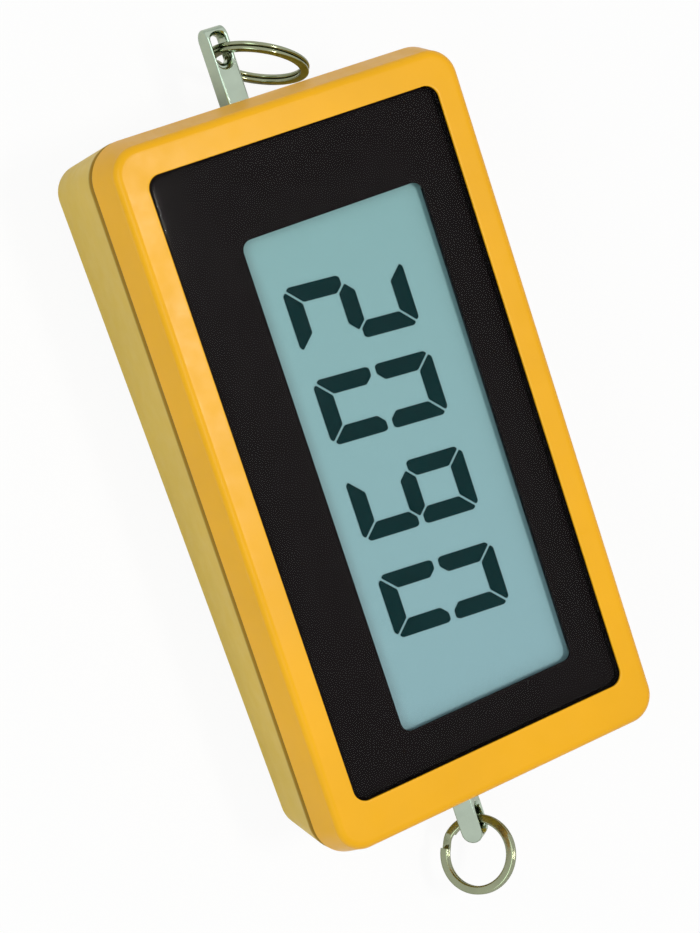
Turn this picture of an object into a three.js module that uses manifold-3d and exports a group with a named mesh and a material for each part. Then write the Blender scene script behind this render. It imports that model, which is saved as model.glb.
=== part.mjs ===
// In-line pull gauge for stringing machines: a two-shell case with a display, a load cell and two
// swivel eyes.
// Row frame: rear face on Z = 0, +X to the display's right, +Y towards the upper eye, +Z out of the rear face
// into the case. The front face is tilted, because the case is deeper at its top end.

import * as THREE from "three";
import { mergeVertices } from "three/addons/utils/BufferGeometryUtils.js";
import Module from "manifold-3d";

const wasm = await Module();
wasm.setup();

// Driving dimensions, in millimetres and degrees
const caseWidth = 54;
const caseLength = 101.5;
const depthAtTop = 28.2;
const depthAtBottom = 21.6;
const seamDepth = 6.7;
const cornerRadius = 5.2;
const frontEdgeRadius = 1.2;
const rearEdgeRadius = 2;
const frontDraft = 1.2;
const rearDraft = 1;
const wall = 2;
const frontWall = 3;
const panelSideBorder = 5.5;
const panelEndBorder = 6.95;
const panelShift = 0.9;
const panelCornerRadius = 1.6;
const windowWidth = 27.7;
const windowTopMargin = 11.55;
const windowBottomMargin = 5.65;
const windowShiftX = 2.15;
const windowCornerRadius = 1.5;
const cellRearGap = 0.457;

// Clearances and finishing values
const fit = 0.3;
const bond = 0.12;
const overrun = 1;
const weld = 0.0001;
const cornerSteps = 5;
const edgeSteps = 5;
const roundSides = 24;
const smallSides = 12;

// Seam between the shells
const seamGap = 0.6;
const seamChamfer = 0.35;
const lipHeight = 1.6;
const lipThickness = 0.9;

// Panel, mask and display stack, from the front inwards
const lensSink = 0.15;
const lensThickness = 1.2;
const maskThickness = 0.25;
const glassThickness = 1.1;
const glassMargin = 2.6;
const glassLedge = 2.2;
const reflectorThickness = 0.2;
const holderWall = 1;
const holderFloor = 1;
const holderDepth = 4.3;
const stripWidth = 1.4;
const stripEndMargin = 4;

// Main circuit board and what it carries
const boardThickness = 1.2;
const boardCornerRadius = 1.5;
const boardTop = 7.9;
const boardBossRadius = 2.1;
const capRadius = 6;
const capHeight = 1.5;
const capEdge = 12.6;
const capPlaceY = -26;
const chipWidth = 6;
const chipLength = 5;
const chipHeight = 1.6;
const chipPlaceX = 6;
const chipPlaceY = 24;
const crystalRadius = 1.5;
const crystalLength = 8;
const crystalEdge = 6.6;
const crystalPlaceY = -10;
const capacitorRadius = 2.5;
const capacitorHeight = 5.5;
const capacitorEdge = 6.1;
const capacitorPlaceY = 22;

// Case screws and the posts that they pass through
const postSide = 5.8;
const postEnd = 5.55;
const postRadius = 4.2;
const frontPostRadius = 3.2;
const wellRadius = 2.9;
const headSeat = 5.5;
const caseScrewRadius = 1.4;
const caseScrewHeadRadius = 2.5;
const caseScrewHeadHeight = 1.8;
const caseScrewThread = 9;
const smallScrewRadius = 1;
const smallScrewHeadRadius = 1.9;
const smallScrewHeadHeight = 1.3;
const smallScrewThread = 5;
const driveWidth = 0.7;
const driveDepth = 0.8;
const driveShare = 0.6;

// Load cell, an S-shaped beam on the line of pull
const cellY = 4;
const cellWidth = 22;
const cellThickness = 8;
const armHeight = 7;
const slotHeight = 5;
const coreHeight = 13;
const cellWeb = 3.2;
const coreHoleRadius = 4.2;
const coreHoleSpacing = 8;
const gaugeLength = 3.6;
const gaugeWidth = 4;
const gaugeThickness = 0.25;
const cellScrewX = 8;
const cellScrewThread = 11.5;
const cellBossRadius = 3;
const leadRadius = 0.45;
const leadSteps = 8;
const leadSegments = 3;

// Swivel eyes and their bushes
const eyeBar = 3.3;
const eyeReach = 11.25;
const eyeEdge = 0.3;
const slotLength = 4;
const slotWidth = 2.3;
const slotMouthAcross = 0.45;
const slotMouthAlong = 1.3;
const eyeTip = 1.15;
const shankRadius = 1.5;
const bushRadius = 2.1;
const bushFlangeRadius = 2.5;
const bushFlange = 0.5;
const washerThickness = 0.5;
const washerRadius = 2.9;
const nutHeight = 2;
const nutRadius = 2.9;
const shankTip = 0.5;
const upperSwivel = 5;
const lowerSwivel = -45;

// Split rings: two turns of flat wire with one step over
const coilGap = 0.1;
const wireRound = 0.25;
const ringStep = 12;
const stepOver = 34;
const upperRing = {
  diameter: 14.5, wire: 1.3, coil: 0.6, seat: -0.1, lean: 2, yaw: 6, swing: -30, end: 120,
};
const lowerRing = {
  diameter: 11.7, wire: 1.3, coil: 0.6, seat: -0.1, lean: -2, yaw: -1, swing: 65, end: 250,
};

// Push buttons in the right-hand wall
const buttonLength = 9;
const buttonHeight = 4.2;
const buttonProud = 0.7;
const buttonFlange = 0.9;
const buttonFlangeRim = 0.9;
const buttonSpacing = 17;
const switchWidth = 3.4;
const switchLength = 6;
const switchHeight = 3.4;
const switchInset = 0.9;
const plungerRadius = 0.9;
const buttonTravel = 0.4;

// Coin battery, its cup and its bayonet cover in the rear face
const batteryRadius = 8;
const batteryThickness = 3.2;
const batterySide = 14;
const batteryEnd = 20.75;
const coverRadius = 10.2;
const coverFlange = 1.1;
const coverPlug = 2.6;
const cupWall = 0.8;
const cupHeight = 7.3;
const lugCount = 3;
const lugReach = 0.8;
const lugThickness = 0.8;
const lugArc = 26;
const coverTurn = 35;
const coinSlotLength = 11;
const coinSlotWidth = 1.8;
const coinSlotDepth = 0.6;
const contactThickness = 0.3;
const contactWidth = 3.6;
const contactTab = 2.2;
const contactNotch = 1.3;

// Rubber-grey, metal and plastic looks
const yellow = new THREE.MeshStandardMaterial({ color: 0xf5b11f, roughness: 0.45, metalness: 0 });
const black = new THREE.MeshStandardMaterial({ color: 0x161a18, roughness: 0.15, metalness: 0 });
const clear = new THREE.MeshStandardMaterial({ color: 0xdfe6e6, roughness: 0.05, metalness: 0 });
const displayGrey = new THREE.MeshStandardMaterial({ color: 0x9db5b8, roughness: 0.3, metalness: 0 });
const white = new THREE.MeshStandardMaterial({ color: 0xe6e6e0, roughness: 0.6, metalness: 0 });
const rubber = new THREE.MeshStandardMaterial({ color: 0x5a5f66, roughness: 0.8, metalness: 0 });
const boardGreen = new THREE.MeshStandardMaterial({ color: 0x1f6b3a, roughness: 0.5, metalness: 0 });
const darkPlastic = new THREE.MeshStandardMaterial({ color: 0x1c1c1e, roughness: 0.5, metalness: 0 });
const chrome = new THREE.MeshStandardMaterial({ color: 0xcfd4cf, roughness: 0.12, metalness: 1 });
const steel = new THREE.MeshStandardMaterial({ color: 0xb4b6b8, roughness: 0.35, metalness: 1 });
const aluminium = new THREE.MeshStandardMaterial({ color: 0xc2c5c8, roughness: 0.4, metalness: 1 });
const copper = new THREE.MeshStandardMaterial({ color: 0xb87a3c, roughness: 0.4, metalness: 0.6 });
const redWire = new THREE.MeshStandardMaterial({ color: 0xb32020, roughness: 0.5, metalness: 0 });

// Case slope and levels that several pieces share
const slope = (depthAtTop - depthAtBottom) / caseLength;
const tilt = Math.atan(slope);
const depthAt = (y) => (depthAtTop + depthAtBottom) / 2 + slope * y;
const panelWidth = caseWidth - 2 * panelSideBorder;
const panelLength = caseLength - 2 * panelEndBorder;
const windowLength = panelLength - windowTopMargin - windowBottomMargin;
const windowShiftY = panelShift + (windowBottomMargin - windowTopMargin) / 2;
const caseScrewX = caseWidth / 2 - postSide;
const caseScrewY = caseLength / 2 - postEnd;
const batteryX = caseWidth / 2 - batterySide;
const batteryY = batteryEnd - caseLength / 2;
const lensBack = lensSink + lensThickness;
const maskTop = lensBack + bond;
const maskBack = maskTop + maskThickness;
const recessDepth = maskBack + bond;
const glassTop = recessDepth;
const glassWidth = windowWidth + 2 * glassMargin;
const glassLength = windowLength + 2 * glassMargin;
const rearGlassTop = glassTop + glassThickness + bond;
const reflectorTop = rearGlassTop + glassThickness + bond;
const holderTop = frontWall + fit;
const pocketDepth = reflectorTop + reflectorThickness + bond;
const holderOuterWidth = glassWidth + 2 * (fit + holderWall);
const holderOuterLength = glassLength + 2 * (fit + holderWall);
const cellLength = 2 * armHeight + 2 * slotHeight + coreHeight;
const pullDepth = depthAt(cellY - cellLength / 2) - wall - cellRearGap - cellThickness / 2;
const endAt = (depth) => caseLength / 2
  - rearDraft * (pullDepth - seamDepth) / (depth - rearEdgeRadius - seamDepth);
const upperEnd = endAt(depthAtTop);
const lowerEnd = endAt(depthAtBottom);
const sideWallFace = caseWidth / 2 - wall;
const buttonFlangeFace = sideWallFace - rearDraft - fit;
const buttonBack = buttonFlangeFace - buttonFlange;

// The board clears the pressed buttons at its sides, and its screws stand past the ends of the display holder
const boardBack = boardTop + boardThickness;
const buttonDepth = boardBack + bond + switchHeight / 2;
const boardWidth = 2 * (buttonBack - buttonTravel - fit);
const boardScrewX = caseScrewX - postRadius - fit - boardBossRadius;
const boardScrewReach = holderOuterLength / 2 + fit + boardBossRadius;
const boardLength = 2 * (boardScrewReach + smallScrewHeadRadius + fit);
const capPlaceX = capEdge - boardWidth / 2;
const crystalPlaceX = crystalEdge - boardWidth / 2;
const capacitorPlaceX = capacitorEdge - boardWidth / 2;

// Geometry helpers
function toSolid(geometry) {
  const bare = geometry.clone();
  bare.deleteAttribute("normal");
  bare.deleteAttribute("uv");
  const merged = mergeVertices(bare, weld);
  const triVerts = new Uint32Array(merged.index.array);
  const vertProperties = new Float32Array(merged.attributes.position.array);
  return new wasm.Manifold(new wasm.Mesh({ numProp: 3, vertProperties, triVerts }));
}

function toGeometry(solid) {
  const mesh = solid.getMesh();
  const geometry = new THREE.BufferGeometry();
  geometry.setAttribute("position", new THREE.BufferAttribute(mesh.vertProperties, 3));
  geometry.setIndex(Array.from(mesh.triVerts));
  geometry.computeVertexNormals();
  return geometry;
}

function join(first, ...others) {
  return toGeometry(others.reduce((solid, other) => solid.add(toSolid(other)), toSolid(first)));
}

function cut(first, ...others) {
  return toGeometry(others.reduce((solid, other) => solid.subtract(toSolid(other)), toSolid(first)));
}

function common(first, second) {
  return toGeometry(toSolid(first).intersect(toSolid(second)));
}

// Box between two corners
function block(x0, x1, y0, y1, z0, z1) {
  return new THREE.BoxGeometry(x1 - x0, y1 - y0, z1 - z0)
    .translate((x0 + x1) / 2, (y0 + y1) / 2, (z0 + z1) / 2);
}

// Round bar along Z at x, y between two levels
function pin(radius, x, y, z0, z1, sides = roundSides) {
  return new THREE.CylinderGeometry(radius, radius, z1 - z0, sides)
    .rotateX(Math.PI / 2)
    .translate(x, y, (z0 + z1) / 2);
}

// Round bar along Y at x, z between two places
function rod(radius, x, z, y0, y1, sides = roundSides) {
  return new THREE.CylinderGeometry(radius, radius, y1 - y0, sides).translate(x, (y0 + y1) / 2, z);
}

function roundedOutline(width, length, radius) {
  const w = width / 2;
  const l = length / 2;
  const shape = new THREE.Shape();
  shape.absarc(w - radius, l - radius, radius, 0, Math.PI / 2);
  shape.absarc(radius - w, l - radius, radius, Math.PI / 2, Math.PI);
  shape.absarc(radius - w, radius - l, radius, Math.PI, 1.5 * Math.PI);
  shape.absarc(w - radius, radius - l, radius, 1.5 * Math.PI, 2 * Math.PI);
  return shape;
}

// Flat plate with rounded corners, centred on x, y
function plate(width, length, radius, x, y, z0, z1) {
  const options = { depth: z1 - z0, bevelEnabled: false, curveSegments: cornerSteps };
  return new THREE.ExtrudeGeometry(roundedOutline(width, length, radius), options).translate(x, y, z0);
}

// Points of a rounded rectangle, the same number at every size
function ringPoints(width, length, radius, levelAt) {
  const points = [];
  const corners = [[1, 1], [-1, 1], [-1, -1], [1, -1]];
  corners.forEach(([sideX, sideY], quarter) => {
    for (let step = 0; step <= cornerSteps; step += 1) {
      const angle = (quarter + step / cornerSteps) * Math.PI / 2;
      const x = sideX * (width / 2 - radius) + radius * Math.cos(angle);
      const y = sideY * (length / 2 - radius) + radius * Math.sin(angle);
      points.push(new THREE.Vector3(x, y, levelAt(y)));
    }
  });
  return points;
}

// Closed skin through rings of points, each ring higher than the one before, with flat ends
function loft(rings) {
  const count = rings[0].length;
  const ends = [rings[0], rings[rings.length - 1]];
  const middle = (ring) => ring.reduce((sum, p) => sum.add(p), new THREE.Vector3()).divideScalar(count);
  const centres = ends.map(middle);
  const positions = [...rings.flat(), ...centres].flatMap((p) => [p.x, p.y, p.z]);
  const index = [];
  const low = rings.length * count;
  const top = (rings.length - 1) * count;
  for (let i = 0; i < count; i += 1) {
    const next = (i + 1) % count;
    for (let level = 0; level < rings.length - 1; level += 1) {
      const a = level * count + i;
      const b = level * count + next;
      index.push(a, b, b + count, a, b + count, a + count);
    }
    index.push(low, next, i, low + 1, top + i, top + next);
  }
  const geometry = new THREE.BufferGeometry();
  geometry.setAttribute("position", new THREE.BufferAttribute(new Float32Array(positions), 3));
  geometry.setIndex(index);
  return geometry;
}

// One level of the case, drawn in from its widest outline
function caseRing(inset, levelAt) {
  const radius = Math.max(cornerRadius - inset, seamChamfer);
  return ringPoints(caseWidth - 2 * inset, caseLength - 2 * inset, radius, levelAt);
}

function arcSteps(visit) {
  return Array.from({ length: edgeSteps + 1 }, (unused, step) => visit(step / edgeSteps * Math.PI / 2));
}

// Outer form of the front shell, in the display's frame with its front face on z = 0
function frontForm() {
  const seam = seamGap / 2 - seamDepth;
  return loft([
    caseRing(seamChamfer, () => seam),
    caseRing(0, () => seam + seamChamfer),
    ...arcSteps((a) => caseRing(frontDraft + frontEdgeRadius * (1 - Math.cos(a)),
      () => frontEdgeRadius * (Math.sin(a) - 1))),
  ]);
}

// Outer form of the rear shell, whose rear face slopes
function rearForm() {
  const seam = -seamGap / 2 - seamDepth;
  return loft([
    ...arcSteps((a) => caseRing(rearDraft + rearEdgeRadius * (1 - Math.sin(a)),
      (y) => rearEdgeRadius * (1 - Math.cos(a)) - depthAt(y))),
    caseRing(0, () => seam - seamChamfer),
    caseRing(seamChamfer, () => seam),
  ]);
}

// Space inside the case: from a floor that may slope up to a flat ceiling
function hollow(floorAt, ceiling, extraWall) {
  const inset = wall + extraWall;
  return loft([
    caseRing(inset + rearDraft, floorAt),
    caseRing(inset, () => ceiling),
  ]);
}

const fourCorners = [[-1, 1], [1, 1], [-1, -1], [1, -1]];
const boardScrewPlaces = fourCorners.map(([sx, sy]) => [
  sx * boardScrewX, windowShiftY + sy * boardScrewReach,
]);

function frontShell() {
  const seam = seamGap / 2 - seamDepth;
  const posts = fourCorners.map(([sx, sy]) => pin(frontPostRadius, sx * caseScrewX, sy * caseScrewY,
    seam, weld - frontWall));
  const bosses = boardScrewPlaces.map(([x, y]) => pin(boardBossRadius, x, y, fit - boardTop,
    weld - frontWall, smallSides));
  const shell = cut(frontForm(),
    loft([caseRing(wall, () => seam - overrun), caseRing(wall + frontDraft, () => -frontWall)]));
  const skirtCut = cut(
    loft([caseRing(wall - lipThickness - fit, () => seam - overrun),
      caseRing(wall - lipThickness - fit, () => seam + lipHeight + fit)]),
    loft([caseRing(wall + overrun, () => seam - 2 * overrun),
      caseRing(wall + overrun, () => seam + lipHeight + overrun)]));
  const pilots = [
    ...fourCorners.map(([sx, sy]) => pin(caseScrewRadius + fit / 2, sx * caseScrewX, sy * caseScrewY,
      seam - overrun, -frontWall, smallSides)),
    ...boardScrewPlaces.map(([x, y]) => pin(smallScrewRadius + fit / 2, x, y, -boardTop, -frontWall,
      smallSides)),
  ];
  const recess = plate(panelWidth + 2 * fit, panelLength + 2 * fit, panelCornerRadius + fit, 0, panelShift,
    -recessDepth, overrun);
  const opening = plate(glassWidth + 2 * fit, glassLength + 2 * fit, fit, windowShiftX, windowShiftY,
    -frontWall - overrun, overrun);
  return cut(join(cut(shell, skirtCut), ...posts, ...bosses), ...pilots, recess, opening);
}

// Places of the buttons along the right-hand wall
const buttonPlaces = [buttonSpacing / 2, -buttonSpacing / 2];

// Rounded slot along Y in the right-hand wall, from x0 to x1
function sideSlot(length, height, y, x0, x1) {
  const options = { depth: x1 - x0, bevelEnabled: false, curveSegments: cornerSteps };
  return new THREE.ExtrudeGeometry(roundedOutline(height, length, height / 2), options)
    .rotateY(Math.PI / 2)
    .translate(x0, y, -buttonDepth);
}

// The rear face's frame, seen from the display's frame: z is height above the rear face
const rearToFront = new THREE.Matrix4().makeRotationX(-tilt).setPosition(0, 0, -depthAt(0));
const frontToRear = rearToFront.clone().invert();

function ringSector(inner, outer, start, arc, z0, z1) {
  const shape = new THREE.Shape();
  shape.absarc(0, 0, outer, start, start + arc, false);
  shape.absarc(0, 0, inner, start + arc, start, true);
  const options = { depth: z1 - z0, bevelEnabled: false, curveSegments: cornerSteps };
  return new THREE.ExtrudeGeometry(shape, options).translate(batteryX, batteryY, z0);
}

const holeRadius = batteryRadius + fit + bond;
const coverSeat = coverFlange + fit;
const lugBase = coverPlug + fit;
const lugTop = lugBase + lugThickness;
const batteryBase = lugTop + fit;
const lugRadius = holeRadius + lugReach;
const lugSector = THREE.MathUtils.degToRad(lugArc);

// Angles at which the cover's lugs stand, turned by a given number of degrees
function lugAngles(turn) {
  return Array.from({ length: lugCount }, (unused, i) => 2 * Math.PI * i / lugCount
    + THREE.MathUtils.degToRad(turn));
}

// Battery cup on the rear wall, made in the rear face's frame
function batteryCup() {
  return cut(
    pin(lugRadius + fit + cupWall, batteryX, batteryY, wall / 2, cupHeight),
    pin(lugRadius + fit, batteryX, batteryY, lugBase - fit, batteryBase, roundSides),
    pin(holeRadius, batteryX, batteryY, 0, cupHeight + overrun, roundSides));
}

function batteryCuts() {
  const slack = fit / lugRadius;
  const notches = lugAngles(-coverTurn).map((start) => ringSector(holeRadius - fit, lugRadius + fit,
    start - slack, lugSector + 2 * slack, coverSeat - fit, lugBase));
  const tabNotch = block(batteryX + holeRadius - fit, batteryX + holeRadius + contactNotch,
    batteryY - contactWidth / 2 - fit, batteryY + contactWidth / 2 + fit, batteryBase + fit,
    cupHeight + overrun);
  return [
    pin(coverRadius + fit, batteryX, batteryY, -overrun, coverSeat, roundSides * 2),
    pin(holeRadius, batteryX, batteryY, -overrun, cupHeight + overrun, roundSides),
    ...notches,
    tabNotch,
  ];
}

const cellFront = pullDepth - cellThickness / 2;
const cellBack = pullDepth + cellThickness / 2;
const cellScrewY = cellY + cellLength / 2 - armHeight / 2;

function rearShell() {
  const seam = -seamGap / 2 - seamDepth;
  const inside = hollow((y) => wall - depthAt(y), seam + overrun, 0);
  const lip = cut(
    loft([caseRing(wall - lipThickness, () => seam - seamChamfer - wall),
      caseRing(wall - lipThickness, () => seam + seamGap + lipHeight)]),
    loft([caseRing(wall, () => seam - 2 * wall), caseRing(wall, () => seam + 2 * lipHeight)]));
  const room = hollow((y) => wall / 2 - depthAt(y), seam, -wall / 2);
  const posts = fourCorners.map(([sx, sy]) => {
    const y = sy * caseScrewY;
    return common(pin(postRadius, sx * caseScrewX, y, wall / 2 - depthAt(y + sy * postRadius), seam), room);
  });
  const cellBosses = [-1, 1].map((side) => pin(cellBossRadius, side * cellScrewX, cellScrewY,
    wall / 2 - depthAt(cellScrewY - cellBossRadius), -cellBack - fit, smallSides));
  const cup = batteryCup().applyMatrix4(rearToFront);
  const body = join(cut(rearForm(), inside), lip, ...posts, ...cellBosses, common(cup, room));
  const wells = fourCorners.flatMap(([sx, sy]) => [
    pin(wellRadius, sx * caseScrewX, sy * caseScrewY, -2 * depthAtTop, seam - headSeat),
    pin(caseScrewRadius + fit, sx * caseScrewX, sy * caseScrewY, seam - headSeat - overrun, seam + overrun,
      smallSides),
  ]);
  const cellPilots = [-1, 1].map((side) => pin(smallScrewRadius + fit / 2, side * cellScrewX, cellScrewY,
    -cellFront - cellScrewThread, -cellBack + overrun, smallSides));
  const half = caseLength / 2 + overrun;
  const eyeHoles = [rod(bushRadius + fit / 2, 0, -pullDepth, -half, -half + wall + 2 * overrun),
    rod(bushRadius + fit / 2, 0, -pullDepth, half - wall - 2 * overrun, half),
    rod(bushFlangeRadius + fit / 2, 0, -pullDepth, -half, bushFlange - lowerEnd),
    rod(bushFlangeRadius + fit / 2, 0, -pullDepth, upperEnd - bushFlange, half)];
  const buttonHoles = buttonPlaces.map((y) => sideSlot(buttonLength + 2 * fit, buttonHeight + 2 * fit, y,
    sideWallFace - overrun, caseWidth / 2 + overrun));
  const rodChannel = rod(shankRadius + fit, 0, -pullDepth, 2 * wall - half,
    batteryY + lugRadius + 2 * cupWall, smallSides);
  const rearCuts = batteryCuts().map((piece) => piece.applyMatrix4(rearToFront));
  return cut(body, ...wells, ...cellPilots, ...eyeHoles, ...buttonHoles, rodChannel, ...rearCuts)
    .applyMatrix4(frontToRear);
}

// Battery cover with three bayonet lugs and a coin slot, in the rear face's frame
function batteryCover() {
  const lugs = lugAngles(0).map((start) => ringSector(holeRadius - 2 * fit, lugRadius, start, lugSector,
    lugBase, lugTop));
  const plug = pin(holeRadius - fit, batteryX, batteryY, coverFlange / 2, lugTop - fit);
  const face = pin(coverRadius, batteryX, batteryY, 0, coverFlange, roundSides * 2);
  const dish = pin(batteryRadius - cupWall, batteryX, batteryY, coverPlug - overrun, lugTop + overrun);
  const coinSlot = plate(coinSlotLength, coinSlotWidth, coinSlotWidth / 2 - weld, batteryX, batteryY,
    -overrun, coinSlotDepth);
  return cut(join(face, plug, ...lugs), dish, coinSlot);
}

// Clear front panel and the printed mask behind it
function lens() {
  return plate(panelWidth, panelLength, panelCornerRadius, 0, panelShift, -lensBack, -lensSink);
}

function mask() {
  return cut(
    plate(panelWidth, panelLength, panelCornerRadius, 0, panelShift, -maskBack, -maskTop),
    plate(windowWidth, windowLength, windowCornerRadius, windowShiftX, windowShiftY,
      -maskBack - overrun, overrun));
}

// Display glasses, reflector, holder and contact strips
function displayPlate(width, top, thickness) {
  return block(windowShiftX - width / 2, windowShiftX + width / 2,
    windowShiftY - glassLength / 2, windowShiftY + glassLength / 2, -top - thickness, -top);
}

const rearGlassWidth = glassWidth - 2 * glassLedge;
const stripX = glassWidth / 2 - glassLedge / 2;

function displayHolder() {
  const slots = [-1, 1].map((side) => block(
    windowShiftX + side * stripX - stripWidth / 2 - fit, windowShiftX + side * stripX + stripWidth / 2 + fit,
    windowShiftY - glassLength / 2 + stripEndMargin - fit,
    windowShiftY + glassLength / 2 - stripEndMargin + fit,
    -boardTop, 0));
  const floor = pocketDepth + holderFloor;
  return cut(
    plate(holderOuterWidth, holderOuterLength, holderWall, windowShiftX, windowShiftY,
      -holderTop - holderDepth, -holderTop),
    plate(glassWidth + 2 * fit, glassLength + 2 * fit, fit, windowShiftX, windowShiftY, -pocketDepth, 0),
    plate(glassWidth, glassLength, fit, windowShiftX, windowShiftY, -boardTop, -floor),
    ...slots);
}

function contactStrip(side) {
  const x = windowShiftX + side * stripX;
  const half = glassLength / 2 - stripEndMargin;
  return block(x - stripWidth / 2, x + stripWidth / 2, windowShiftY - half, windowShiftY + half,
    bond - boardTop, -glassTop - glassThickness - bond);
}

// Circuit board and the pieces soldered to it
function board() {
  const holes = boardScrewPlaces.map(([x, y]) => pin(smallScrewRadius + fit, x, y, -boardBack - overrun,
    overrun, smallSides));
  const notches = fourCorners.map(([sx, sy]) => pin(postRadius + fit, sx * caseScrewX, sy * caseScrewY,
    -boardBack - overrun, overrun));
  return cut(plate(boardWidth, boardLength, boardCornerRadius, 0, windowShiftY, -boardBack, -boardTop),
    ...holes, ...notches);
}

function resinCap() {
  const points = arcSteps((a) => new THREE.Vector2(capRadius * Math.cos(a), capHeight * Math.sin(a)));
  points[points.length - 1].x = 0;
  return new THREE.LatheGeometry([new THREE.Vector2(0, 0), ...points], smallSides)
    .rotateX(-Math.PI / 2)
    .translate(capPlaceX, capPlaceY, -boardBack - bond);
}

function crystal() {
  return new THREE.CapsuleGeometry(crystalRadius, crystalLength - 2 * crystalRadius, edgeSteps, smallSides)
    .translate(crystalPlaceX, crystalPlaceY, -boardBack - bond - crystalRadius);
}

function sideSwitch(y) {
  const back = -boardBack - bond;
  const face = boardWidth / 2 - switchInset;
  const end = buttonBack - buttonTravel - bond;
  const plunger = new THREE.CylinderGeometry(plungerRadius, plungerRadius, end - face + overrun, smallSides)
    .rotateZ(Math.PI / 2)
    .translate((face - overrun + end) / 2, y, -buttonDepth);
  return join(block(face - switchWidth, face, y - switchLength / 2, y + switchLength / 2,
    back - switchHeight, back), plunger);
}

// Push button: a rounded cap through the wall with a flange inside it
function button(y) {
  return join(
    sideSlot(buttonLength, buttonHeight, y, buttonFlangeFace - buttonFlange / 2, caseWidth / 2 + buttonProud),
    sideSlot(buttonLength + 2 * buttonFlangeRim, buttonHeight + 2 * buttonFlangeRim, y,
      buttonBack, buttonFlangeFace));
}

// Load cell: an S-shaped beam with a waisted core between two arms
function loadCell() {
  const w = cellWidth / 2;
  const core = coreHeight / 2;
  const arm = core + slotHeight;
  const end = arm + armHeight;
  const bend = slotHeight / 2;
  const shape = new THREE.Shape();
  shape.moveTo(-w, -end);
  shape.lineTo(w, -end);
  shape.lineTo(w, core);
  shape.lineTo(-w + cellWeb + bend, core);
  shape.absarc(-w + cellWeb + bend, core + bend, bend, 1.5 * Math.PI, 0.5 * Math.PI, true);
  shape.lineTo(w, arm);
  shape.lineTo(w, end);
  shape.lineTo(-w, end);
  shape.lineTo(-w, -core);
  shape.lineTo(w - cellWeb - bend, -core);
  shape.absarc(w - cellWeb - bend, -core - bend, bend, 0.5 * Math.PI, -0.5 * Math.PI, true);
  shape.lineTo(-w, -arm);
  const options = { depth: cellThickness, bevelEnabled: false, curveSegments: 2 * cornerSteps };
  const beam = new THREE.ExtrudeGeometry(shape, options).translate(0, cellY, -cellBack);
  const half = coreHoleSpacing / 2;
  const from = -cellBack - overrun;
  const to = overrun - cellFront;
  const bores = [
    pin(coreHoleRadius, -half, cellY, from, to),
    pin(coreHoleRadius, half, cellY, from, to),
    rod(shankRadius + fit, 0, -pullDepth, cellY + arm - overrun, cellY + end + overrun),
    rod(shankRadius + fit, 0, -pullDepth, cellY - end - overrun, cellY - arm + overrun),
    ...[-1, 1].map((side) => pin(smallScrewRadius + fit, side * cellScrewX, cellScrewY, from, to,
      smallSides)),
  ];
  return cut(beam, ...bores);
}

function strainGauge(sideX, sideY) {
  const x = sideX * coreHoleSpacing / 2;
  const y0 = coreHeight / 2 + bond;
  const y1 = y0 + gaugeThickness;
  return block(x - gaugeLength / 2, x + gaugeLength / 2, cellY + Math.min(sideY * y0, sideY * y1),
    cellY + Math.max(sideY * y0, sideY * y1), -pullDepth - gaugeWidth / 2, gaugeWidth / 2 - pullDepth);
}

// Round lead along a smooth line through hand-placed points
function lead(points) {
  const path = new THREE.CatmullRomCurve3(points.map((p) => new THREE.Vector3(...p)));
  const section = new THREE.Shape();
  section.absarc(0, 0, leadRadius, 0, 2 * Math.PI);
  const options = { steps: leadSteps, bevelEnabled: false, extrudePath: path, curveSegments: leadSegments };
  return new THREE.ExtrudeGeometry(section, options);
}

// Swivel eye, drawn along +Y with its square bar starting at y = 0
const slotCentre = eyeReach - eyeTip - slotLength / 2;

// Opening through the eye: its mouths are rounded, more along the bar than across it
function slotFlare() {
  const half = eyeBar / 2;
  const outset = (mouth, z) => mouth - Math.sqrt(mouth ** 2 - Math.max(0, z - half + mouth) ** 2);
  const level = (z) => {
    const across = outset(slotMouthAcross, Math.min(Math.abs(z), half));
    const along = outset(slotMouthAlong, Math.min(Math.abs(z), half));
    return ringPoints(slotWidth + 2 * across, slotLength + 2 * along, slotWidth / 2 + across - weld, () => z);
  };
  const upper = [...arcSteps((a) => half - slotMouthAlong * (1 - Math.sin(a))), half + overrun];
  const lower = [...upper].reverse().map((z) => -z);
  return loft([...lower, ...upper].map(level)).translate(0, slotCentre, 0);
}

function swivelEye(shankLength) {
  const half = eyeBar / 2;
  const side = new THREE.Shape();
  side.moveTo(-half, 0);
  side.lineTo(half, 0);
  side.lineTo(half, eyeReach - half);
  side.absarc(0, eyeReach - half, half, 0, Math.PI, false);
  const bar = new THREE.ExtrudeGeometry(side, {
    depth: eyeBar - 2 * eyeEdge, bevelThickness: eyeEdge, bevelSize: eyeEdge, bevelOffset: -eyeEdge,
    bevelSegments: 2, curveSegments: 2 * cornerSteps,
  }).translate(0, 0, eyeEdge - half).rotateY(Math.PI / 2);
  const shank = rod(shankRadius, 0, 0, -shankLength, half, roundSides);
  return join(cut(bar, slotFlare()), shank);
}

// Bush let into the end wall, with its flange level with the wall
function bush(outer) {
  const points = [
    [shankRadius + fit / 2, -wall], [bushRadius, -wall], [bushRadius, -bushFlange],
    [bushFlangeRadius, -bushFlange], [bushFlangeRadius, 0], [shankRadius + fit / 2, 0],
    [shankRadius + fit / 2, -wall],
  ].map(([r, y]) => new THREE.Vector2(r, y + outer));
  return new THREE.LatheGeometry(points, roundSides);
}

function washer(y) {
  const inner = shankRadius + fit / 2;
  const points = [
    [inner, 0], [washerRadius, 0], [washerRadius, washerThickness], [inner, washerThickness], [inner, 0],
  ].map(([r, h]) => new THREE.Vector2(r, y + h));
  return new THREE.LatheGeometry(points, roundSides);
}

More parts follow.
